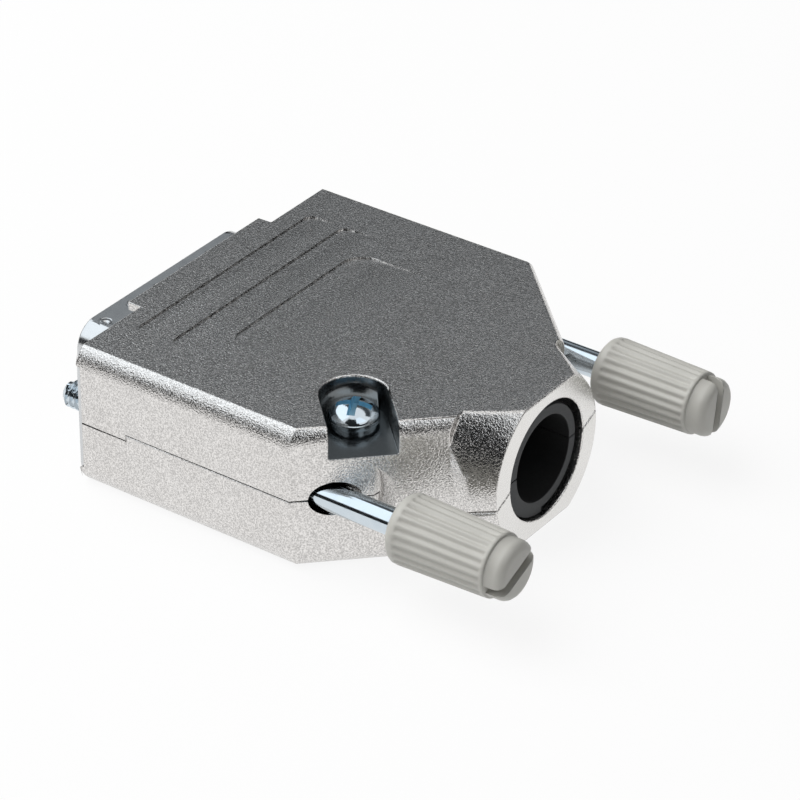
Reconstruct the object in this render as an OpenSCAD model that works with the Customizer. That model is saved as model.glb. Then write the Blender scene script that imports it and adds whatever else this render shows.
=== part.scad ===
// Die-cast hood for a fifteen-way rectangular connector, with the plug fitted.
// Two identical hood halves close round the plug's flange. Long thumbscrews
// run down both sides, and the cable leaves straight back through a split
// bush in the round neck.
// Millimetres. +Y runs from the mating side to the cable, +Z is up, and the
// origin is on the flat resting face, under the middle of the front edge.

/* [Hood] */
// How far each side wall stands out past the plug's flange
side_proud = 0.08; // [0.02:0.01:0.5]
// Height of one hood half, parting plane to flat face
half_h = 7.3; // [7.1:0.1:9]
// Length of the parallel side walls
side_len = 24.5; // [23:0.1:27]
// Distance from the front edge to the start of the neck
neck_y = 34.8; // [33.5:0.1:36]
// Width of the neck at the shoulders
neck_w = 18.8; // [17.6:0.1:20]
// Length of the neck, shoulders to ring face
neck_len = 4.5; // [3.9:0.1:7]
// Radius of the round neck at the shoulders
neck_r1 = 10.4; // [9.8:0.1:11]
// Radius of the ring face
neck_r2 = 8.2; // [7.6:0.1:9]
// Radius of the rounded top and bottom edges
edge_r = 2.7; // [2.4:0.1:3]
// Height of the rounded part of a side wall
edge_h = 2.2; // [1.8:0.1:2.4]
// Wall thickness at the sides
wall = 1.2; // [0.9:0.05:1.3]
// Thickness of the two flat faces
roof = 1.4; // [1.1:0.1:1.8]
// Gap left between the two halves
parting_gap = 0.08; // [0:0.01:0.12]

/* [Front lip] */
// Width of the lip that laps over the flange
lip_w = 20.2; // [12:0.1:26]
// How far the lip stands in front of the hood
lip_out = 1.5; // [0.8:0.1:2]

/* [Grip steps] */
// Distance between two grip steps
grip_pitch = 4.05; // [3.4:0.05:4.3]
// Depth of a step at its deep edge
grip_depth = 0.35; // [0.2:0.05:0.6]
// Half width of the two front steps
grip_w = 13.6; // [10:0.1:15]
// Half width of the long rear step
grip_w_rear = 10.4; // [7:0.1:11]

/* [Cover screws] */
// Distance of the cover screw from the centre line
cover_x = 10.7; // [10.3:0.1:11]
// Distance of the cover screw from the front edge
cover_y = 25.2; // [24.5:0.1:26]
// Radius of the screw pocket
pocket_r = 3.2; // [2.9:0.1:3.5]
// Depth of the screw pocket below the flat face
pocket_d = 3.1; // [2.9:0.1:3.4]
// Diameter of the cover screw's thread
cover_d = 2.5; // [2:0.1:2.6]
// Diameter of the cover screw's head
cover_head_d = 4.8; // [4:0.1:5.4]

/* [Thumbscrews] */
// Distance between the two thumbscrews
spacing = 33.32; // [33.2:0.01:33.5]
// Thread diameter
thread_d = 2.84; // [2.6:0.01:3]
// Plain shank diameter
shank_d = 2.65; // [2.4:0.01:2.7]
// How far the thread tip stands in front of the hood, screw drawn back
tip_out = 3.5; // [2:0.1:4]
// Distance from the front edge to the knob, screw drawn back
knob_y = 34.9; // [34.5:0.1:38]
// Length of the fluted barrel
barrel_len = 10.6; // [8:0.1:14]
// Barrel diameter at the hood end
barrel_d1 = 6.8; // [6:0.1:7.2]
// Barrel diameter at the cap end
barrel_d2 = 6.2; // [5.8:0.1:6.8]
// Diameter of the slotted cap
cap_d = 5.7; // [5:0.1:6]
// Length of the slotted cap
cap_len = 1.9; // [1.5:0.1:3]
// Number of flutes
flutes = 24; // [16:1:28]
// Width of the screwdriver slot
slot_w = 1; // [0.8:0.1:1.4]
// Angle of the slot in the +X thumbscrew
slot_angle_1 = 22; // [0:1:180]
// Angle of the slot in the -X thumbscrew
slot_angle_2 = 82; // [0:1:180]

/* [Bush] */
// Diameter of the cable hole
cable_d = 8.6; // [6:0.1:9.4]
// Diameter of the neck's bore
bore_d = 11.9; // [11.5:0.1:12.1]

/* [Plug] */
// Distance from a thumbscrew's centre to the end of the flange
flange_end = 2.91; // [2.6:0.01:3.4]
// Flange height
flange_h = 12.55; // [12:0.01:12.7]
// Distance from the last contact to the end of the D-shaped shell
d_end = 2.93; // [2.8:0.01:3.1]
// Height of the D-shaped shell
d_h = 8.36; // [8.2:0.01:8.6]
// How far the D-shaped shell stands out of the flange
d_len = 5.9; // [5.5:0.1:6.2]
// Sheet thickness of the plug's two shells
sheet = 0.4; // [0.3:0.05:0.45]
// Distance between neighbouring contacts
pitch = 2.77; // [2.74:0.01:2.8]
// Distance between the two rows of contacts
row_pitch = 2.84; // [2.8:0.01:2.9]

/* [Hidden] */

run = 0.08;               // radial clearance of a running fit
free = 0.35;              // radial clearance where nothing bears
seat = 0.05;              // clearance between seated pieces
hair = 0.002;             // keeps a flat just inside the arc that it runs into
mid = half_h;             // height of the parting plane
flange_w = spacing + 2 * flange_end;
body_w = flange_w + 2 * side_proud;   // across the parallel side walls
hw = body_w / 2;
nw = neck_w / 2;
hood_len = neck_y + neck_len;
sx = spacing / 2;
rise = neck_y - side_len;             // shoulder, along Y
reach = hw - nw;                      // shoulder, along X
slope = atan2(rise, reach);           // shoulder angle from the X axis
slope_r = edge_r - 0.5;               // rounded edge along a shoulder
slope_h = edge_h - 0.5;
in_x = hw - wall;                     // inner face of a side wall
in_z = half_h - roof;                 // inside of a flat face
function shoulder(x) = side_len + (hw - x) * rise / reach;

thread_r = thread_d / 2;
shank_r = shank_d / 2;
core_r = thread_r - 0.03;             // thread behind the free end
clip_t = 0.6;
clip_y = 7;                           // front face of the clip, drawn back
clip_r = 2.1;
groove_r = 0.95;
front_wall = sheet + 1.6;             // wall behind the flange
rib_y = 8.75;                         // guide rib behind the clip
rib_t = 1.5;
rib_x = sx - clip_r - free - 1.05;    // inner side of the clip chamber
relief_y = 30;                        // bottom of the knob relief
relief_r = barrel_d1 / 2 + 0.6;
knob_end = knob_y + barrel_len + cap_len;
insert_r = 1.7;                       // rod's end, held in the knob
insert_len = 8;

bore_r = bore_d / 2;
collar_r = bore_r + 0.55;
collar_y = neck_y + 0.75;
collar_t = 1.2;
bush_y = neck_y - 1.2;
bush_end = hood_len - 0.45;
wedge = 2;                            // drop of the neck's stepped joint
tongue = 0.6;                         // drop of the front stepped joint
tongue_len = 5.7;

d_w = 7 * pitch + 2 * d_end;          // across the D-shaped shell
rear_w = d_w - 0.85;                  // rear shell's body
rear_h = d_h + 2.04;
rear_len = sheet + 4.2;
rear_corner = 2.2;
rear_flange_w = flange_w - 3.14;
rear_flange_h = flange_h - 1.05;
flange_corner = 1.2;
d_corner = 2.6;
dent_x = d_w / 2 - 2.625;             // outermost grounding dents
dent_y = 1.5 - d_len;
grip_y = 2.1;                         // front grip step
grip_end = 19.5;
cover_len = 8;                        // cover screw below its head
head_h = 2.3;
ins_front = 1.0;                      // front insulator, ahead of the flange
ins_y = sheet;                        // joint between the two insulators
ins_back = sheet + 5.6;
pin_r = 0.5;
pin_out = 5.7;
stem_r = 0.75;
cup_r = 0.95;
cup_len = 4;

$fn = 48;

// a convex outline with its corners rounded at radius r
module rounded(pts, r) {
  n = len(pts);
  polygon(pts);
  for (i = [0:n - 1]) {
    a = pts[i];
    b = pts[(i + 1) % n];
    d = (b - a) / norm(b - a);
    o = [d[1], -d[0]] * (r - hair);
    polygon([a, a + o, b + o, b]);
    translate(a) circle(r);
  }
}

// D outline, w wide along its top and h high, corner radius r
module d_outline(w, h, r) {
  x1 = w / 2 - r;
  x2 = x1 - (h - 2 * r) * tan(10);
  y = h / 2 - r;
  rounded([[-x2, -y], [x2, -y], [x1, y], [-x1, y]], r);
}

// rounded rectangle
module plate(w, h, r) {
  rounded([for (c = [[-1, -1], [1, -1], [1, 1], [-1, 1]]) [c[0] * (w / 2 - r), c[1] * (h / 2 - r)]], r);
}

// turns an outline drawn in X and Z into a slab from y0, t thick
module slab(y0, t) {
  translate([0, y0 + t, 0]) rotate([90, 0, 0]) linear_extrude(t) children();
}

// a round bar along Y
module bar(r, y0, t) {
  translate([0, y0, 0]) rotate([-90, 0, 0]) cylinder(r = r, h = t);
}

// a turned piece along Y, drawn as [radius, y]
module turned() {
  rotate([-90, 0, 0]) rotate_extrude() children();
}

// both thumbscrew lines
module both() {
  for (s = [-1, 1]) translate([s * sx, 0, 0]) children();
}

// hood outline in plan, moved in by o
module plan(o) {
  k = o / cos(slope);
  polygon([[-(hw - o), -4], [hw - o, -4],
    [hw - o, shoulder(hw - o) - k], [nw - o, shoulder(nw - o) - k],
    [-(nw - o), shoulder(nw - o) - k], [-(hw - o), shoulder(hw - o) - k]]);
}

// outline with its upper corner on one side rounded, from x0 to x1, top at half_h;
// the arc, radius r, runs up from the side and meets the top at an angle
module soft_edge(x0, x1, r, h) {
  translate([x0, -3]) square([x1 - x0, 3 + half_h - h]);
  translate([x0, -3]) square([x1 - r - x0, 3 + half_h]);
  intersection() {
    translate([x1 - r, half_h - h]) circle(r);
    translate([x1 - r - 1, -2]) square([r + 2, 2 + half_h]);
  }
}

// the same outline laid along one shoulder
module soft_shoulder(s) {
  d = hw * sin(slope) + side_len * cos(slope);
  rotate([0, 0, -s * slope]) translate([0, d - 40, 0]) rotate([0, 0, 90])
    slab(-60, 120) soft_edge(-40, 40, slope_r, slope_h);
}

// outside of one half, solid, parting plane at z = 0
module outside() {
  intersection() {
    slab(0, neck_y + 0.02) soft_edge(-30, hw, edge_r, edge_h);
    mirror([1, 0, 0]) slab(0, neck_y + 0.02) soft_edge(-30, hw, edge_r, edge_h);
    soft_shoulder(1);
    soft_shoulder(-1);
  }
  intersection() {
    translate([0, neck_y - 1, 0]) rotate([-90, 0, 0])
      cylinder(r1 = neck_r1 + (neck_r1 - neck_r2) / neck_len, r2 = neck_r2, h = neck_len + 1, $fn = 96);
    translate([-nw, neck_y - 1, -2]) cube([neck_w, neck_len + 2, 2 + half_h - 0.04]);
  }
  translate([-lip_w / 2, -lip_out, flange_h / 2 + 0.2])
    cube([lip_w, lip_out + 1, half_h - flange_h / 2 - 0.2]);
}

// shallow ramp cut into the flat face, deep edge at y0, shallow end at y1
module ramp(w, y0, y1, r) {
  intersection() {
    translate([-w, 0, 0]) rotate([90, 0, 90]) linear_extrude(2 * w)
      polygon([[y0, half_h - grip_depth], [y1, half_h + 0.02], [y1, half_h + 1], [y0, half_h + 1]]);
    translate([0, 0, half_h - 2]) linear_extrude(4)
      rounded([[-w + r, y0 + r], [w - r, y0 + r], [w - r, y1 + 4], [-w + r, y1 + 4]], r);
  }
}

// the side of the joint that drops below the parting plane, on the +X side
module joint_steps() {
  translate([in_x - 1, 0, -tongue]) cube([wall + 2, tongue_len, tongue + 0.5]);
  slab(relief_y - 1, hood_len)
    polygon([[bore_r - 0.4, 0.5], [bore_r - 0.4, -0.1], [neck_r2, -1.45], [nw, -wedge], [sx - relief_r + 0.6, -wedge], [sx - relief_r + 0.6, 0.5]]);
}

// screw pocket outline, open across the shoulder
module pocket(r, z0, h) {
  translate([cover_x, cover_y, z0]) {
    cylinder(r = r, h = h);
    rotate([0, 0, -slope]) translate([-r, 0, 0]) cube([2 * r, 14, h]);
  }
}

// one hood half; both halves are the same piece
module hood_half() {
  difference() {
    intersection() {
      outside();
      union() {
        translate([-30, -5, parting_gap / 2]) cube([60, 60, 20]);
        translate([0, 0, parting_gap / 2]) joint_steps();
      }
    }
    // the other half's steps
    rotate([0, 180, 0]) translate([0, 0, -parting_gap / 2]) joint_steps();
    // inside, keeping the ribs and pillars
    difference() {
      translate([0, 0, -3]) linear_extrude(3 + in_z) intersection() {
        plan(wall);
        translate([-30, front_wall]) square([60, neck_y - front_wall - wall]);
      }
      translate([cover_x, cover_y, 0]) cylinder(r = pocket_r + 1, h = 10);
      pocket(pocket_r + 1, half_h - pocket_d - 1.3, 10);
      translate([-cover_x, cover_y, 0]) cylinder(r = 3, h = 10);
      for (s = [-1, 1]) {
        translate([s * (rib_x + 0.45) - 0.45, 0, -1]) cube([0.9, rib_y + rib_t, 12]);
        translate([s * (rib_x + 4) - 4, rib_y, -1]) cube([8, rib_t, 12]);
      }
    }
    // connector opening and the seats of the two flanges
    slab(-1, rear_len + 2) square([rear_w + 2 * free, rear_h + 2 * free], center = true);
    slab(-1, 1 + 2 * sheet + seat) square([rear_flange_w + 0.4, rear_flange_h + 0.4], center = true);
    slab(-1, 1 + sheet) plate(flange_w + 2 * (side_proud + hair * 10), flange_h + 0.2, flange_corner + 0.1);
    // cable bore and the bush collar's groove
    bar(bore_r, relief_y - 2, 20);
    bar(collar_r + 0.1, collar_y - 0.05, collar_t + 0.1);
    // thumbscrew ways, clip chambers and knob reliefs
    both() {
      bar(thread_r + run, -1, 4);
      bar(clip_r + free, front_wall, rib_y - front_wall);
      bar(shank_r + run, rib_y - 1, rib_t + 2);
      bar(thread_r + free, rib_y + rib_t, 26);
      bar(relief_r, relief_y, 20);
    }
    // screw pocket, its hole, and the thread for the other half's screw
    pocket(pocket_r, half_h - pocket_d, 10);
    translate([cover_x, cover_y, -1]) cylinder(r = cover_d / 2 + 0.1, h = 12);
    translate([-cover_x, cover_y, -1]) cylinder(r = cover_d / 2 + seat, h = 1 + half_h - 1.8);
    // grip steps
    ramp(grip_w, grip_y, grip_y + grip_pitch - 0.1, 1);
    ramp(grip_w, grip_y + grip_pitch, grip_y + 2 * grip_pitch - 0.1, 1);
    ramp(grip_w_rear, grip_y + 2 * grip_pitch, grip_end, 2.4);
  }
}

module upper_shell() { color("Silver") translate([0, 0, mid]) hood_half(); }
module lower_shell() { color("Silver") translate([0, 0, mid]) rotate([0, 180, 0]) hood_half(); }

// pan-head screw with a cross recess, head seat at z = 0
module cover_screw() {
  head_r = cover_head_d / 2;
  dome_h = 0.9;
  dome = (head_r * head_r + dome_h * dome_h) / (2 * dome_h);
  difference() {
    union() {
      translate([0, 0, -cover_len]) cylinder(r = cover_d / 2, h = cover_len + 0.5);
      intersection() {
        cylinder(r = head_r, h = head_h);
        translate([0, 0, head_h - dome]) sphere(dome, $fn = 64);
      }
    }
    for (a = [0, 90]) rotate([0, 0, a + 25]) translate([-1.35, -0.28, head_h - 1.1]) cube([2.7, 0.56, 3]);
    translate([0, 0, head_h - 1.3]) cylinder(r1 = 0.25, r2 = 0.9, h = 1.31);
  }
}
module cover_screw_top() {
  color("LightSteelBlue") translate([cover_x, cover_y, mid + half_h - pocket_d]) cover_screw();
}
module cover_screw_bottom() {
  color("LightSteelBlue") translate([-cover_x, cover_y, mid - half_h + pocket_d]) rotate([0, 180, 0]) cover_screw();
}

// half of the split bush, parting plane at z = 0, thin side on -X
module bush_half() {
  difference() {
    union() {
      bar(bore_r - 0.2, bush_y, bush_end - bush_y);
      bar(collar_r, collar_y, collar_t);
    }
    translate([-20, 0, -20]) cube([40, 60, 20 + parting_gap / 2]);
    bar(cable_d / 2, bush_y - 1, 20);
    difference() {
      translate([-20, collar_y + collar_t, -1]) cube([20, 20, 20]);
      bar(bore_r - 0.6, 0, 60);
    }
  }
}
module cable_bush_upper() { color("DimGray") translate([0, 0, mid]) bush_half(); }
module cable_bush_lower() { color("DimGray") translate([0, 0, mid]) mirror([0, 0, 1]) bush_half(); }

// flange with its two screw holes, back face at y0 + t
module flange(w, h, y0, t) {
  difference() {
    slab(y0, t) plate(w, h, flange_corner);
    both() bar(thread_r + run, y0 - 1, t + 2);
  }
}

// six grounding dents along each long side
module dents() {
  for (s = [-1, 1], k = [0:5]) translate([dent_x * (k * 2 / 5 - 1), dent_y, s * (d_h / 2 + 0.35)])
    children();
}

module front_shell() {
  color("Gainsboro") translate([0, 0, mid]) difference() {
    union() {
      flange(flange_w, flange_h, 0, sheet);
      slab(-d_len, d_len + sheet / 2) d_outline(d_w, d_h, d_corner);
    }
    difference() {
      slab(-d_len - 1, d_len + sheet + 2) d_outline(d_w - 2 * sheet, d_h - 2 * sheet, d_corner - sheet);
      // inner side of the grounding dents
      dents() sphere(1.0);
    }
    dents() sphere(0.65);
  }
}

module rear_shell() {
  color("Gainsboro") translate([0, 0, mid]) difference() {
    union() {
      flange(rear_flange_w, rear_flange_h, sheet, sheet);
      slab(1.5 * sheet, rear_len - sheet) d_outline(rear_w, rear_h, rear_corner);
    }
    slab(-1, rear_len + 3) d_outline(rear_w - 2 * sheet, rear_h - 2 * sheet, rear_corner - sheet);
  }
}

function contact_x(i) = i < 8 ? (i - 3.5) * pitch : (i - 11) * pitch;
function contact_z(i) = i < 8 ? row_pitch / 2 : -row_pitch / 2;

module front_insulator() {
  color("Ivory") translate([0, 0, mid]) difference() {
    slab(ins_y - ins_front, ins_front)
      d_outline(d_w - 2 * sheet - 2 * seat, d_h - 2 * sheet - 2 * seat, d_corner - sheet - seat);
    for (i = [0:14]) translate([contact_x(i), 0, contact_z(i)]) bar(pin_r + seat, -3, 8);
  }
}

module rear_insulator() {
  color("Ivory") translate([0, 0, mid]) difference() {
    slab(ins_y, ins_back - ins_y)
      d_outline(rear_w - 2 * sheet - 2 * seat, rear_h - 2 * sheet - 2 * seat, rear_corner - sheet - seat);
    for (i = [0:14]) translate([contact_x(i), 0, contact_z(i)]) bar(stem_r + seat, ins_y - 1, ins_back + 2);
  }
}

// one contact: round pin, collar and solder cup
module contact(i) {
  color("Goldenrod") translate([contact_x(i), 0, mid + contact_z(i)]) difference() {
    turned() union() {
      polygon([[0, -pin_out + 0.1], [pin_r - 0.35, -pin_out + 0.1], [pin_r, -pin_out + 0.6],
        [pin_r, ins_y + 0.1], [stem_r, ins_y + 0.1], [stem_r, ins_back], [cup_r, ins_back], [cup_r, ins_back + cup_len], [0, ins_back + cup_len]]);
    }
    bar(cup_r - 0.3, ins_back + 0.8, cup_len);
    translate([-cup_r - 0.05, ins_back + 1.6, contact_z(i) > 0 ? 0.1 : -2.1]) cube([2 * cup_r + 0.1, cup_len, 2]);
  }
}

// threaded rod with its plain shank, clip groove and the end held in the knob
module rod() {
  turned() polygon([
    [0, -tip_out], [thread_r - 0.45, -tip_out], [thread_r, -tip_out + 0.5],
    [thread_r, -0.15], [core_r, -0.15], [core_r, clip_y - 0.6],
    [shank_r, clip_y - 0.4], [shank_r, clip_y - 0.05],
    [groove_r, clip_y - 0.05], [groove_r, clip_y + clip_t + 0.05], [shank_r, clip_y + clip_t + 0.05],
    [shank_r, knob_y + 0.3], [insert_r, knob_y + 0.3], [insert_r, knob_y + insert_len], [0, knob_y + insert_len]]);
}

// fluted knob with its slotted cap, hood end at y = 0
module knob(slot_angle) {
  r1 = barrel_d1 / 2;
  r2 = barrel_d2 / 2;
  rc = cap_d / 2;
  e = 0.7;
  taper = atan2(r1 - r2, barrel_len);
  difference() {
    turned() union() {
      polygon([[0, 0], [r1 - e, 0], [r1, e], [r2, barrel_len], [rc, barrel_len],
        [rc, barrel_len + cap_len - e], [rc - e, barrel_len + cap_len], [0, barrel_len + cap_len]]);
      translate([r1 - e, e]) circle(e);
      translate([rc - e, barrel_len + cap_len - e]) circle(e);
    }
    for (k = [0:flutes - 1]) rotate([0, k * 360 / flutes, 0]) translate([r1 + 0.06, 0, 0])
      rotate([-90, 0, 0]) rotate([0, -taper, 0]) translate([0, 0, 1.1]) cylinder(r = 0.26, h = barrel_len + 2, $fn = 16);
    rotate([0, slot_angle, 0]) translate([-5, barrel_len + 0.05, -slot_w / 2]) cube([10, cap_len + 1, slot_w]);
    bar(shank_r + seat, -1, 2);
    bar(insert_r + seat, 0.25, insert_len - 0.2);
  }
}

// split ring that holds a thumbscrew in its chamber
module clip() {
  difference() {
    bar(clip_r, clip_y, clip_t);
    bar(groove_r + 0.06, clip_y - 1, clip_t + 2);
    translate([-0.6, clip_y - 1, -3]) cube([1.2, clip_t + 2, 3]);
  }
}

module left_rod() { color("LightSteelBlue") translate([sx, 0, mid]) rod(); }
module right_rod() { color("LightSteelBlue") translate([-sx, 0, mid]) rod(); }
module left_knob() { color("DarkGray") translate([sx, knob_y, mid]) knob(slot_angle_1); }
module right_knob() { color("DarkGray") translate([-sx, knob_y, mid]) knob(slot_angle_2); }
module left_clip() { color("Gray") translate([sx, 0, mid]) clip(); }
module right_clip() { color("Gray") translate([-sx, 0, mid]) clip(); }

upper_shell();
lower_shell();
cover_screw_top();
cover_screw_bottom();
cable_bush_upper();
cable_bush_lower();
front_shell();
rear_shell();
front_insulator();
rear_insulator();
contact(0);  // contact_1
contact(1);  // contact_2
contact(2);  // contact_3
contact(3);  // contact_4
contact(4);  // contact_5
contact(5);  // contact_6
contact(6);  // contact_7
contact(7);  // contact_8
contact(8);  // contact_9
contact(9);  // contact_10
contact(10);  // contact_11
contact(11);  // contact_12
contact(12);  // contact_13
contact(13);  // contact_14
contact(14);  // contact_15
left_rod();
right_rod();
left_knob();
right_knob();
left_clip();
right_clip();
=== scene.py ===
import math

import bmesh
import bpy
from mathutils import Matrix, Vector
from mathutils.bvhtree import BVHTree


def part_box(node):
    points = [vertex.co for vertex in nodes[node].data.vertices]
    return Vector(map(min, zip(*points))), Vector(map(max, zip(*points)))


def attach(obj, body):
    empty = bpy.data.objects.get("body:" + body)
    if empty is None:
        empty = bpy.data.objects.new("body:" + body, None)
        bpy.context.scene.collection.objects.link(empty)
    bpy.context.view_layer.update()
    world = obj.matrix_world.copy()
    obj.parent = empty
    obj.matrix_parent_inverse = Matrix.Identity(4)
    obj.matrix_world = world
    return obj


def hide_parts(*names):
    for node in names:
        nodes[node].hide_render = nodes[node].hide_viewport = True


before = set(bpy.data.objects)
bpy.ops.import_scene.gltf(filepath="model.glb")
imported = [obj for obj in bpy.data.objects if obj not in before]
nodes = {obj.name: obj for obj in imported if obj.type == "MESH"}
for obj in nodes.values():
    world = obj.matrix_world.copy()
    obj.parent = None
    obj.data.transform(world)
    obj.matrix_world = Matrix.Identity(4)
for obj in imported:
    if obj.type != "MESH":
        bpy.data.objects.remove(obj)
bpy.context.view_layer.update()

MM = 0.001

ROD_LOW, ROD_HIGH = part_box("left_rod")
KNOB_LOW, KNOB_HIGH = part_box("left_knob")
HOOD_LOW, HOOD_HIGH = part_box("upper_shell")
SCREW_LOW, SCREW_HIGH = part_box("cover_screw_top")
CLIP_LOW, CLIP_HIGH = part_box("left_clip")
ROD_X = KNOB_LOW.x / 2 + KNOB_HIGH.x / 2
AXIS_Z = (ROD_LOW.z + ROD_HIGH.z) / 2  # height of the thumbscrews and of the parting plane
TOP = HOOD_HIGH.z - AXIS_Z  # height of a flat face over the parting plane


# ---- camera: behind the cable end, looking down on the +X side ----

AZIMUTH, ELEVATION, ROLL = (math.radians(a) for a in (125.156, 31.911, 0.639))
AIM = Vector((0.823, 23.322, 8.271)) * MM
DISTANCE = 349.03 * MM

back = Vector((
    math.sin(AZIMUTH) * math.cos(ELEVATION),
    -math.cos(AZIMUTH) * math.cos(ELEVATION),
    math.sin(ELEVATION),
))
camera = bpy.data.objects.new("camera", bpy.data.cameras.new("camera"))
camera.data.sensor_width = 36
camera.data.lens = 168.53
camera.data.clip_start, camera.data.clip_end = 0.01, 20
camera.matrix_world = (
    Matrix.Translation(AIM + back * DISTANCE)
    @ back.to_track_quat("Z", "Y").to_matrix().to_4x4()
    @ Matrix.Rotation(ROLL, 4, "Z")
)
bpy.context.scene.collection.objects.link(camera)
bpy.context.scene.camera = camera


# ---- materials ----

def linear(code):
    """sRGB hex to linear RGBA."""
    parts = [int(code[i:i + 2], 16) / 255 for i in (1, 3, 5)]
    return [c / 12.92 if c <= 0.04045 else ((c + 0.055) / 1.055) ** 2.4 for c in parts] + [1]


def add(tree, kind, settings=None, **sockets):
    """Adds a node. settings are its own options; a socket takes a value or another node's output."""
    node = tree.nodes.new("ShaderNode" + kind)
    for name, value in (settings or {}).items():
        setattr(node, name, value)
    for name, value in sockets.items():
        names = [s.name.replace(" ", "_") for s in node.inputs]
        socket = node.inputs[int(name[1:]) if name[0] == "i" and name[1:].isdigit() else names.index(name)]
        if isinstance(value, bpy.types.NodeSocket):
            tree.links.new(value, socket)
        else:
            socket.default_value = value
    return node


def new_material(name):
    material = bpy.data.materials.new(name)
    material.use_nodes = True
    tree = material.node_tree
    tree.nodes.clear()
    place = add(tree, "TexCoord").outputs["Object"]
    return material, tree, place


def finish(tree, shader):
    add(tree, "OutputMaterial", Surface=shader.outputs[0])


def cast_zinc(name, colour, shade, grain, roughness, pit_shade):
    """Die-cast zinc, tumbled and nickel plated: a silver skin over pits, with painted shade that darkens the pits in
    the base colour by the given share.
    """
    material, tree, place = new_material(name)
    # pits of 0.16 mm, as the tumbling leaves them, on the casting's slower ripple
    pits = add(tree, "TexNoise", Vector=place, Scale=6400.0, Detail=1.5, Roughness=0.55)
    ripple = add(tree, "TexNoise", Vector=place, Scale=620.0, Detail=2.0, Roughness=0.5)
    cloud = add(tree, "TexNoise", Vector=place, Scale=160.0, Detail=3.0, Roughness=0.55)
    relief = add(tree, "Bump", Strength=1.0, Distance=grain, Height=pits.outputs["Fac"])
    relief = add(tree, "Bump", Strength=1.0, Distance=6e-6, Height=ripple.outputs["Fac"],
                 Normal=relief.outputs[0])
    tone = add(tree, "MixRGB", Fac=cloud.outputs["Fac"], Color1=linear(colour), Color2=linear(shade))
    # painted shade: the base colour darkens where the pit noise is low, in the hollows of the bump
    depth = add(tree, "MapRange", Value=pits.outputs["Fac"], From_Min=0.35, From_Max=0.65,
                To_Min=1.0 - pit_shade, To_Max=1.0)
    tone = add(tree, "VectorMath", {"operation": "MULTIPLY"}, i0=tone.outputs[0], i1=depth.outputs[0])
    gloss = add(tree, "MapRange", Value=pits.outputs["Fac"], From_Min=0.3, From_Max=0.7,
                To_Min=roughness - 0.04, To_Max=roughness + 0.06)
    finish(tree, add(tree, "BsdfPrincipled", Base_Color=tone.outputs[0], Metallic=1.0,
                     Roughness=gloss.outputs[0], Normal=relief.outputs[0]))
    return material


def plated_steel(name, colour, shade, roughness):
    """Bright plated steel: smooth, with a faint cloudiness in the plate."""
    material, tree, place = new_material(name)
    cloud = add(tree, "TexNoise", Vector=place, Scale=900.0, Detail=3.0, Roughness=0.5)
    relief = add(tree, "Bump", Strength=1.0, Distance=2e-6, Height=cloud.outputs["Fac"])
    tone = add(tree, "MixRGB", Fac=cloud.outputs["Fac"], Color1=linear(colour), Color2=linear(shade))
    gloss = add(tree, "MapRange", Value=cloud.outputs["Fac"], From_Min=0.3, From_Max=0.7,
                To_Min=roughness - 0.04, To_Max=roughness + 0.04)
    finish(tree, add(tree, "BsdfPrincipled", Base_Color=tone.outputs[0], Metallic=1.0,
                     Roughness=gloss.outputs[0], Normal=relief.outputs[0]))
    return material


def moulded(name, colour, shade, roughness, grain):
    """Moulded plastic with a fine spark-eroded skin."""
    material, tree, place = new_material(name)
    skin = add(tree, "TexNoise", Vector=place, Scale=5200.0, Detail=2.0, Roughness=0.6)
    cloud = add(tree, "TexNoise", Vector=place, Scale=240.0, Detail=2.0, Roughness=0.5)
    relief = add(tree, "Bump", Strength=1.0, Distance=grain, Height=skin.outputs["Fac"])
    tone = add(tree, "MixRGB", Fac=cloud.outputs["Fac"], Color1=linear(colour), Color2=linear(shade))
    gloss = add(tree, "MapRange", Value=skin.outputs["Fac"], From_Min=0.3, From_Max=0.7,
                To_Min=roughness - 0.04, To_Max=roughness + 0.06)
    finish(tree, add(tree, "BsdfPrincipled", Base_Color=tone.outputs[0], Roughness=gloss.outputs[0],
                     Normal=relief.outputs[0]))
    return material


zinc_grain = cast_zinc("nickel_plated_zinc_grain", "#F4F2F0", "#EAE7E4", 60e-6, 0.16, 0.42)
zinc_face = cast_zinc("nickel_plated_zinc_ring_face", "#EDECEA", "#E6E4E1", 6e-6, 0.24, 0.06)
# painted shade: the screw pocket's zinc gets a dark grey colour for the shade inside the pocket; its smoother skin is
# real
zinc_pocket_painted_shade = cast_zinc("nickel_plated_zinc_pocket", "#73787A", "#66696B", 2e-6, 0.2, 0.0)
zinc_screw = plated_steel("bright_zinc_plate", "#D3DCE2", "#C6D2DB", 0.12)
zinc_blue = plated_steel("blue_passivated_recess", "#CFEBF6", "#9AD2EA", 0.5)
tin = plated_steel("tin_plate", "#D6D8D9", "#C9CBCD", 0.2)
gold = plated_steel("gold_plate", "#E8C069", "#DDB25A", 0.2)
nylon = moulded("warm_grey_nylon", "#BDBCB6", "#B6B5AF", 0.42, 1.5e-6)
rubber = moulded("black_bush_moulding", "#3A3C3E", "#333537", 0.6, 4e-6)
# painted shade: the bush's bore is the same moulding, painted near black for the shade inside it
bush_bore_painted_shade = moulded("black_bush_bore_painted_shade", "#0E0E0F", "#0B0B0C", 0.75, 4e-6)
pbt = moulded("black_pbt", "#1E1F20", "#252627", 0.5, 3e-6)


# ---- modelling helpers ----

def start_clean():
    if bpy.context.object and bpy.context.object.mode != "OBJECT":
        bpy.ops.object.mode_set(mode="OBJECT")
    bpy.ops.object.select_all(action="DESELECT")


def activate(obj):
    start_clean()
    obj.select_set(True)
    bpy.context.view_layer.objects.active = obj


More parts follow.
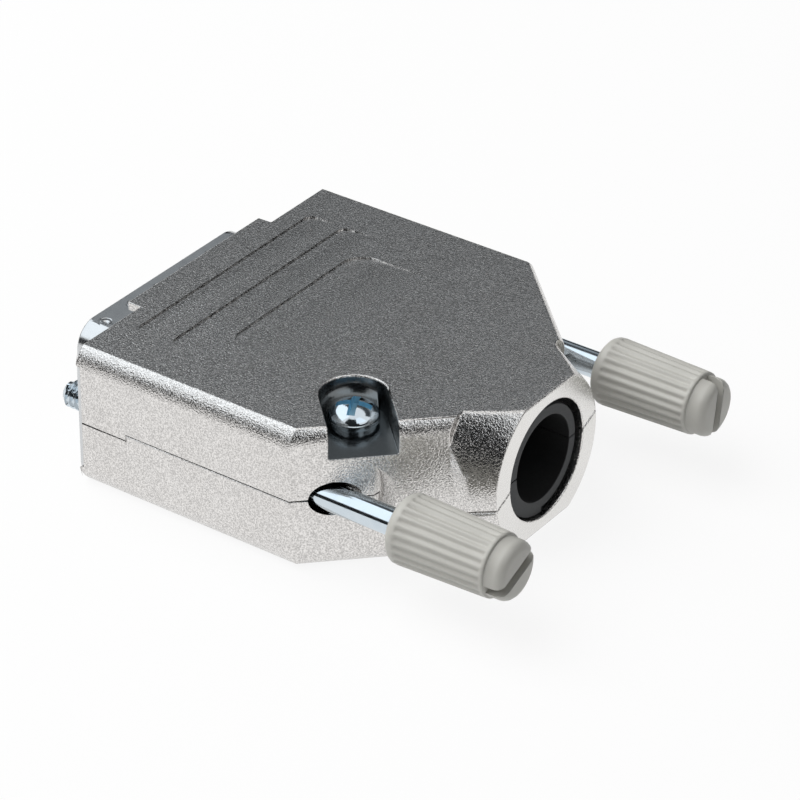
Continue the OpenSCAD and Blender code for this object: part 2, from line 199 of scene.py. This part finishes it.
def modify(obj, kind, **settings):
    """Adds a modifier and applies it."""
    activate(obj)
    modifier = obj.modifiers.new(kind.lower(), kind)
    for name, value in settings.items():
        setattr(modifier, name, value)
    bpy.ops.object.modifier_apply(modifier=modifier.name)


def smooth(obj, degrees):
    activate(obj)
    bpy.ops.object.shade_smooth_by_angle(angle=math.radians(degrees))


def dress(obj, node, body, slot, *materials):
    """obj stands for a CAD node, rides on its body and takes its finish."""
    obj.data.materials.clear()
    for material in materials:
        obj.data.materials.append(material)
    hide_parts(node)
    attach(obj, body)


def open_air():
    """What a ray meets on its way out of the closed assembly."""
    points, faces = [], []
    for obj in nodes.values():
        start = len(points)
        points += [obj.matrix_world @ v.co for v in obj.data.vertices]
        faces += [[start + i for i in p.vertices] for p in obj.data.polygons]
    return BVHTree.FromPolygons(points, faces)


air = open_air()


def merged_copy(node, name):
    """A copy of a CAD node's mesh, its loose triangles merged into flat faces."""
    start_clean()
    obj = bpy.data.objects.new(name, nodes[node].data.copy())
    bpy.context.scene.collection.objects.link(obj)
    activate(obj)
    bpy.ops.object.mode_set(mode="EDIT")
    bpy.ops.mesh.select_all(action="SELECT")
    bpy.ops.mesh.remove_doubles(threshold=1e-6)
    bpy.ops.mesh.dissolve_limited(angle_limit=math.radians(0.2))
    bpy.ops.object.mode_set(mode="OBJECT")
    return obj


REACH_OUT = 0.03 * MM  # where a ray starts, off the edge it tests
BROAD = 12 * MM * MM


def ease(obj, node, width, rule, least=24):
    """Rounds the outer edges of a copy of node, where they turn by least degrees or more.

    rule gives an edge's share of width from its middle and its two face normals.
    """
    mesh = bmesh.new()
    mesh.from_mesh(obj.data)
    weight = mesh.edges.layers.float.new("bevel_weight_edge")
    for edge in mesh.edges:
        if len(edge.link_faces) != 2 or edge.calc_face_angle(0) < math.radians(least):
            continue
        a, b = (face.normal for face in edge.link_faces)
        middle = (edge.verts[0].co + edge.verts[1].co) / 2
        out = (a + b).normalized()
        if air.ray_cast(middle + out * REACH_OUT, out)[0] is None:
            edge[weight] = rule(middle, a, b)
    mesh.to_mesh(obj.data)
    mesh.free()
    low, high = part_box(node)
    modify(obj, "BEVEL", width=width, segments=2, limit_method="WEIGHT",
           use_clamp_overlap=False, miter_outer="MITER_ARC")
    for vertex in obj.data.vertices:  # a corner's mitre stays inside the part
        vertex.co = Vector(min(max(c, a), b) for c, a, b in zip(vertex.co, low, high))
    smooth(obj, 50)
    mesh = bmesh.new()
    mesh.from_mesh(obj.data)
    for edge in mesh.edges:  # a crease between two broad faces stays crisp
        if len(edge.link_faces) == 2 and edge.calc_face_angle(0) > math.radians(1):
            if min(face.calc_area() for face in edge.link_faces) > BROAD:
                edge.smooth = False
    mesh.to_mesh(obj.data)
    mesh.free()
    modify(obj, "WEIGHTED_NORMAL", mode="FACE_AREA", weight=80, keep_sharp=True)


def turned(name, profile, sides):
    """A piece turned about the Y axis: rings of (radius, place along Y), closed at both ends."""
    start_clean()
    radius, y = profile[0]
    bpy.ops.mesh.primitive_circle_add(vertices=sides, radius=radius, fill_type="NGON",
                                      location=(0, y, 0), rotation=(math.pi / 2, 0, 0))
    obj = bpy.context.object
    obj.name = name
    bpy.ops.object.transform_apply(location=True, rotation=True, scale=True)
    bpy.ops.object.mode_set(mode="EDIT")
    bpy.ops.mesh.select_all(action="SELECT")
    for (r0, y0), (r1, y1) in zip(profile, profile[1:]):
        bpy.ops.mesh.extrude_region_move(TRANSFORM_OT_translate={"value": (0, y1 - y0, 0)})
        bpy.ops.transform.resize(value=(r1 / r0, 1, r1 / r0), center_override=(0, y1, 0))
    bpy.ops.mesh.select_all(action="SELECT")
    bpy.ops.mesh.normals_make_consistent(inside=False)
    bpy.ops.object.mode_set(mode="OBJECT")
    return obj


def press(obj, depth):
    """Moves the points of a turned piece in by depth(angle, y, radius)."""
    for vertex in obj.data.vertices:
        arm = Vector((vertex.co.x, 0, vertex.co.z))
        if arm.length > 1e-7:
            vertex.co -= arm.normalized() * depth(math.atan2(arm.z, arm.x), vertex.co.y, arm.length)


def cut(obj, size, place, turn=0.0, foot=(1, 1)):
    """Cuts a box out of obj. foot narrows its lower end, and turn turns it about Y."""
    start_clean()
    bpy.ops.mesh.primitive_cube_add(size=1, location=place, rotation=(0, turn, 0), scale=size)
    tool = bpy.context.object
    bpy.ops.object.mode_set(mode="EDIT")
    mesh = bmesh.from_edit_mesh(tool.data)
    for face in mesh.faces:
        face.select = face.normal.y < -0.5
    bmesh.update_edit_mesh(tool.data)
    bpy.ops.transform.resize(value=(foot[0], 1, foot[1]), center_override=tool.location, orient_type="LOCAL")
    bpy.ops.object.mode_set(mode="OBJECT")
    modify(obj, "BOOLEAN", operation="DIFFERENCE", solver="EXACT", object=tool)
    bpy.data.objects.remove(tool)


def copy_to(obj, name, matrix):
    """A copy with its own mesh, moved in its mesh, as a finished piece is."""
    twin = bpy.data.objects.new(name, obj.data.copy())
    twin.data.transform(matrix)
    bpy.context.scene.collection.objects.link(twin)
    return twin


# ---- hood halves ----

EASE = 0.3 * MM
POCKET = Vector(((SCREW_LOW.x + SCREW_HIGH.x) / 2, (SCREW_LOW.y + SCREW_HIGH.y) / 2))
POCKET_R, POCKET_DEPTH = 3.3 * MM, 3.3 * MM
MOUTH_R = 6 * MM  # how far the pocket's floor reaches, out through the side
GRIP_X, GRIP_BACK, GRIP_DEPTH = 14 * MM, 21 * MM, 0.4 * MM  # the grip steps lie within these
ROD_CHANNEL_R = 4 * MM
PLATE_END = 34.7 * MM  # where the flat face gives way to the neck
NECK_DROP = 0.0395 * MM
STEP_SHARE = 0.5


def hood_edge(middle, a, b):
    """How far an edge of the hood is eased, as a share of EASE."""
    height = abs(middle.z - AXIS_Z)
    side = 1 if middle.z > AXIS_Z else -1
    on_grip = 1 * MM < middle.y < GRIP_BACK - 0.5 * MM and abs(middle.x) < GRIP_X
    from_rod = math.hypot(abs(middle.x) - ROD_X, height)
    if height > TOP - 0.45 * MM and on_grip:
        return 0.0  # the grip steps stay crisp
    if (Vector((middle.x * side, middle.y)) - POCKET).length < 4 * MM and height > 3 * MM:
        return 0.7  # rim of the screw pocket
    if abs(from_rod - ROD_CHANNEL_R) < 0.1 * MM and middle.y > 27 * MM:
        return 0.0  # mouth of the rod's channel
    if height > TOP - 0.1 * MM and middle.y > 34.5 * MM:
        return 0.0 if middle.y < 35 * MM else 0.9  # the neck's flat
    if middle.y < 1 * MM:
        return 0.35  # front edge and lip
    if max(abs(a.z), abs(b.z)) > 0.95 and height < 2.6 * MM:
        return 1.4 if middle.y > 31 * MM else 0.3  # parting edges, wider along the neck
    if middle.y > HOOD_HIGH.y - 0.5 * MM:
        return 0.5  # ring face
    return 0.4


def in_pocket(face, side):
    """Whether a face of a hood half belongs to the screw pocket."""
    below = TOP - abs(face.center.z - AXIS_Z)
    reach = (Vector((face.center.x * side, face.center.y)) - POCKET).length
    on_floor = reach < MOUTH_R and below > 3 * MM and abs(face.normal.z) > 0.9
    return 0.2 * MM < below < POCKET_DEPTH and (reach < POCKET_R or on_floor)


for node, name, side in (("upper_shell", "upper_half", 1), ("lower_shell", "lower_half", -1)):
    half = merged_copy(node, name)
    for vertex in half.data.vertices:
        below = TOP - abs(vertex.co.z - AXIS_Z)
        if vertex.co.y > PLATE_END and below < 0.05 * MM:
            vertex.co.z += side * min(below, NECK_DROP)  # the neck's flat runs level into the plate
        elif vertex.co.y < GRIP_BACK and abs(vertex.co.x) < GRIP_X and 0.01 * MM < below < GRIP_DEPTH:
            vertex.co.z += side * below * STEP_SHARE  # shallow grip steps
    ease(half, node, EASE, hood_edge)
    dress(half, node, "hood", "zinc_casting", zinc_grain, zinc_face, zinc_pocket_painted_shade)
    for face in half.data.polygons:
        # pocket faces take the dark pocket material: painted shade inside the screw pocket
        if in_pocket(face, side):
            face.material_index = 2
        if face.normal.y > 0.95 and face.center.y > HOOD_HIGH.y - 0.2 * MM:
            face.material_index = 1


# ---- thumbscrews: fluted knob on a rod with a 4-40 thread ----

FLUTES = 24
FLUTE_DEPTH = 0.22 * MM
BARREL, CAP = 10.6 * MM, 1.9 * MM
BARREL_R1, BARREL_R2, CAP_R = 3.4 * MM, 3.1 * MM, 2.85 * MM
SLOT = 1.0 * MM
SLOT_TURNS = {"left": 22, "right": 82}
PITCH, THREAD_R, THREAD_DEPTH = 0.635 * MM, 1.41 * MM, 0.36 * MM


def barrel(y):
    """Radius of the tapered barrel."""
    return BARREL_R1 + (BARREL_R2 - BARREL_R1) * y / BARREL


knob_rings = [(1.75, 8.05), (1.75, 0.25), (1.375, 0.25), (1.375, 0.0), (2.5, 0.0), (2.86, 0.1), (3.16, 0.32),
              (3.34, 0.66)]
knob_rings = [(r * MM, y * MM) for r, y in knob_rings]
knob_rings += [(barrel(y * MM), y * MM) for y in (1.05, 1.2, 1.4, 3.7, 6.0, 8.3, 10.0, 10.2, 10.35)]
knob_rings += [(BARREL_R2 - 0.02 * MM, 10.52 * MM), (BARREL_R2 - 0.1 * MM, BARREL), (CAP_R + 0.05 * MM, BARREL),
               (CAP_R, BARREL + 0.05 * MM)]
knob_rings += [(CAP_R - inset * MM, BARREL + CAP - back * MM)
               for inset, back in ((0, 0.85), (0.04, 0.6), (0.16, 0.36), (0.36, 0.16), (0.62, 0.04), (0.85, 0.0))]


def flute(angle, y, radius):
    """Depth of the grooves, which run out softly at both ends of the barrel."""
    share = (angle / math.tau * FLUTES) % 1
    near = 1 - abs(2 * share - 1)  # 1 in the middle of a groove
    along = min(max((y - 1.15 * MM) / (0.2 * MM), 0), max(0, min(1, (10.3 * MM - y) / (0.25 * MM))), 1)
    groove = min(max((near - 0.2) / 0.6, 0), 1)
    outside = radius > 2.6 * MM and y < BARREL - 0.1 * MM
    return FLUTE_DEPTH * along * groove * groove * (3 - 2 * groove) if outside else 0.0


knob = turned("knob", knob_rings, FLUTES * 6)
press(knob, flute)
cut(knob, (10 * MM, CAP + 1 * MM, SLOT), (0, BARREL + 0.05 * MM + CAP / 2 + 0.5 * MM, 0))
activate(knob)
bpy.ops.object.mode_set(mode="EDIT")
mesh = bmesh.from_edit_mesh(knob.data)
for edge in mesh.edges:
    on_wall = all(abs(abs(v.co.z) - SLOT / 2) < 0.002 * MM and v.co.y > BARREL + 0.06 * MM for v in edge.verts)
    edge.select = on_wall and edge.calc_face_angle(0) > math.radians(20)
bmesh.update_edit_mesh(knob.data)
bpy.ops.mesh.bevel(offset=0.07 * MM, segments=2, affect="EDGES", clamp_overlap=False)
bpy.ops.object.mode_set(mode="OBJECT")
smooth(knob, 60)

THREAD_END = 6.4 * MM
rod_rings = [(0.95 * MM, ROD_LOW.y), (1.0 * MM, ROD_LOW.y + 0.03 * MM), (THREAD_R, ROD_LOW.y + 0.45 * MM)]
step = PITCH / 8
thread_start = rod_rings[-1][1]
count = int((THREAD_END - thread_start) / step)
rod_rings += [(THREAD_R, thread_start + step * (i + 1)) for i in range(count)]
SHANK_R, NECK_R, HUB_R = 1.325 * MM, 0.95 * MM, 1.7 * MM
NECK_FROM, NECK_TO = CLIP_LOW.y - 0.05 * MM, CLIP_HIGH.y + 0.05 * MM
rod_rings += [(SHANK_R, THREAD_END + 0.2 * MM), (SHANK_R, NECK_FROM), (NECK_R, NECK_FROM), (NECK_R, NECK_TO),
              (SHANK_R, NECK_TO), (SHANK_R, KNOB_LOW.y + 0.3 * MM), (HUB_R, KNOB_LOW.y + 0.3 * MM),
              (HUB_R, KNOB_LOW.y + 8 * MM)]


def thread(angle, y, radius):
    """Depth of the thread, which fades out over its last turn."""
    if y > THREAD_END or radius < 0.5 * MM:
        return 0.0
    ridge = abs(2 * ((y / PITCH + angle / math.tau) % 1) - 1)  # 1 on the crest
    fade = min(1, max(0, (THREAD_END - y) / PITCH))
    target = THREAD_R - THREAD_DEPTH * fade * (1 - min(1, max(0, (ridge - 0.08) / 0.8)))
    return max(0.0, radius - target)


rod = turned("rod", rod_rings, 48)
press(rod, thread)
smooth(rod, 42)

for side, x in (("left", ROD_X), ("right", -ROD_X)):
    turn = Matrix.Translation((x, KNOB_LOW.y, AXIS_Z)) @ Matrix.Rotation(math.radians(SLOT_TURNS[side]), 4, "Y")
    dress(copy_to(knob, side + "_fluted_knob", turn), side + "_knob", side + "_thumbscrew", "grey_knob", nylon)
    dress(copy_to(rod, side + "_threaded_rod", Matrix.Translation((x, 0, AXIS_Z))), side + "_rod",
          side + "_thumbscrew", "zinc_plated_screw", zinc_screw)
bpy.data.objects.remove(knob)
bpy.data.objects.remove(rod)

# ---- cover screws ----

HEAD_H = 2.3 * MM
RECESS_R, RECESS_CROWN = 1.6 * MM, 0.3 * MM
head_rings = [(0.95, -8.0), (1.25, -7.7), (1.25, 0.0), (2.05, 0.0), (2.1, 0.05), (2.1, 0.38), (2.05, 0.42), (1.7, 0.42),
              (1.7, 0.5), (2.25, 0.5), (2.36, 0.55), (2.4, 0.68), (2.4, 1.0), (2.37, 1.18), (2.27, 1.38), (2.05, 1.62),
              (1.75, 1.84), (1.4, 2.02), (1.0, 2.17), (0.6, 2.26), (0.25, 2.3)]
screw = turned("cover_screw", [(r * MM, y * MM) for r, y in head_rings], 64)
for turn in (0.0, 90.0):
    cut(screw, (3.3 * MM, 1.6 * MM, 0.75 * MM), (0, HEAD_H - 0.35 * MM, 0), math.radians(turn + 25), (0.5, 0.6))
smooth(screw, 35)
SEAT_Z = SCREW_HIGH.z - HEAD_H
for face in screw.data.polygons:
    reach = math.hypot(face.center.x, face.center.z)
    crown = HEAD_H - RECESS_CROWN * (reach / (1.4 * MM)) ** 2
    if reach < RECESS_R and 0.5 * MM < face.center.y < crown - 0.05 * MM:
        face.material_index = 1
index = [face.material_index for face in screw.data.polygons]
for name, x, seat, tilt in (("cover_screw_top", POCKET.x, SEAT_Z, 90),
                            ("cover_screw_bottom", -POCKET.x, 2 * AXIS_Z - SEAT_Z, -90)):
    matrix = Matrix.Translation((x, POCKET.y, seat)) @ Matrix.Rotation(math.radians(tilt), 4, "X")
    twin = copy_to(screw, name.replace("cover", "pan_head"), matrix)
    dress(twin, name, "hood", "zinc_plated_screw", zinc_screw, zinc_blue)
    twin.data.polygons.foreach_set("material_index", index)
bpy.data.objects.remove(screw)

# ---- plug and bush ----

for node, name, slot, material, width in (
        ("front_shell", "plug_front_shell", "tinned_sheet", tin, 0.15 * MM),
        ("rear_shell", "plug_rear_shell", "tinned_sheet", tin, 0.1 * MM),
        ("cable_bush_upper", "bush_upper_half", "black_bush", rubber, 0.1 * MM),
        ("cable_bush_lower", "bush_lower_half", "black_bush", rubber, 0.1 * MM)):
    piece = merged_copy(node, name)
    ease(piece, node, width, lambda middle, a, b: 1.0, least=35)
    if material is rubber:
        dress(piece, node, "hood", slot, rubber, bush_bore_painted_shade)
        # faces turned toward the axis take the near-black bore material: painted shade inside the bush
        for face in piece.data.polygons:
            inward = Vector((face.center.x, 0, face.center.z - AXIS_Z)).normalized()
            if face.normal.dot(inward) < -0.5:
                face.material_index = 1
    else:
        dress(piece, node, "hood", slot, material)

# ---- finishes of the nodes that stay ----

PLAIN = {"front_insulator": pbt, "rear_insulator": pbt, "contact": gold, "left_clip": zinc_screw,
         "right_clip": zinc_screw}
for node, obj in nodes.items():
    for start, material in PLAIN.items():
        if node.startswith(start):
            obj.data.materials.clear()
            obj.data.materials.append(material)


# ---- floor, studio and light ----

def seen_ray(tree):
    """1 for camera, glossy and transmission rays, 0 for the rest."""
    rays = add(tree, "LightPath")
    shown = add(tree, "Math", {"operation": "MAXIMUM"}, i0=rays.outputs["Is Camera Ray"],
                i1=rays.outputs["Is Glossy Ray"])
    return add(tree, "Math", {"operation": "MAXIMUM"}, i0=shown.outputs[0],
               i1=rays.outputs["Is Transmission Ray"]).outputs[0]


start_clean()
bpy.ops.mesh.primitive_plane_add(size=6, location=(0, 0, 0))
floor = bpy.context.object
floor.name = "floor"
paper, tree, place = new_material("white_paper")
share = add(tree, "Math", {"operation": "MULTIPLY"}, i0=seen_ray(tree), i1=0.88)  # the rest keeps the shadow
matt = add(tree, "BsdfDiffuse", Color=linear("#F2F2F2"))
glow = add(tree, "Emission", Color=linear("#FFFFFF"), Strength=1.0)
finish(tree, add(tree, "MixShader", i0=share.outputs[0], i1=matt.outputs[0], i2=glow.outputs[0]))
floor.data.materials.append(paper)

world = bpy.data.worlds.new("studio")
bpy.context.scene.world = world
world.use_nodes = True
tree = world.node_tree
tree.nodes.clear()
room = add(tree, "Background", Color=linear("#FFFFFF"), Strength=0.2)
white = add(tree, "Background", Color=linear("#FFFFFF"), Strength=1.0)
mixed = add(tree, "MixShader", i0=seen_ray(tree), i1=room.outputs[0], i2=white.outputs[0])
add(tree, "OutputWorld", Surface=mixed.outputs[0])

CENTRE = Vector((0, 20, 7)) * MM


def card(name, bearings, heights, grey, distance=0.9):
    """A curved studio card round the object that only reflections see; bearings from +X towards +Y."""
    start_clean()
    bpy.ops.mesh.primitive_grid_add(x_subdivisions=48, y_subdivisions=8, size=2)
    obj = bpy.context.object
    obj.name = name
    for vertex in obj.data.vertices:
        across = math.radians(bearings[0] + (bearings[1] - bearings[0]) * (vertex.co.x + 1) / 2)
        up = math.radians(heights[0] + (heights[1] - heights[0]) * (vertex.co.y + 1) / 2)
        flat = math.cos(up)
        vertex.co = CENTRE + distance * Vector((math.cos(across) * flat, math.sin(across) * flat, math.sin(up)))
    obj.visible_camera = obj.visible_diffuse = obj.visible_shadow = obj.visible_transmission = False
    material, tree, place = new_material(name)
    finish(tree, add(tree, "Emission", Color=linear("#F4FAFF"), Strength=grey))
    obj.data.materials.append(material)


card("dark_horizon", (0, 360), (-0.4, 22), 0.02)
card("dark_behind_camera", (-8, 60), (22, 68), 0.02)
card("grey_rear_wall", (130, 288), (20, 42), 0.36)
card("dark_rear_wall", (130, 288), (42, 58), 0.07)
card("key_card", (240, 335), (24, 75), 1.45, 0.8)
card("fill_card", (50, 100), (38, 72), 1.3, 0.8)


def softbox(name, place, aim, size, power):
    lamp = bpy.data.lights.new(name, "AREA")
    lamp.shape, lamp.size, lamp.size_y = "RECTANGLE", size[0], size[1]
    lamp.energy = power
    obj = bpy.data.objects.new(name, lamp)
    obj.location = place
    obj.rotation_euler = (Vector(aim) - Vector(place)).to_track_quat("-Z", "Y").to_euler()
    obj.visible_glossy = False  # the key card stands for it in reflections
    bpy.context.scene.collection.objects.link(obj)


softbox("key_softbox", (0.15, -0.25, 0.5), (0.0, 0.02, 0.0), (0.7, 0.55), 4.4)

bpy.context.scene.view_settings.view_transform = "Standard"
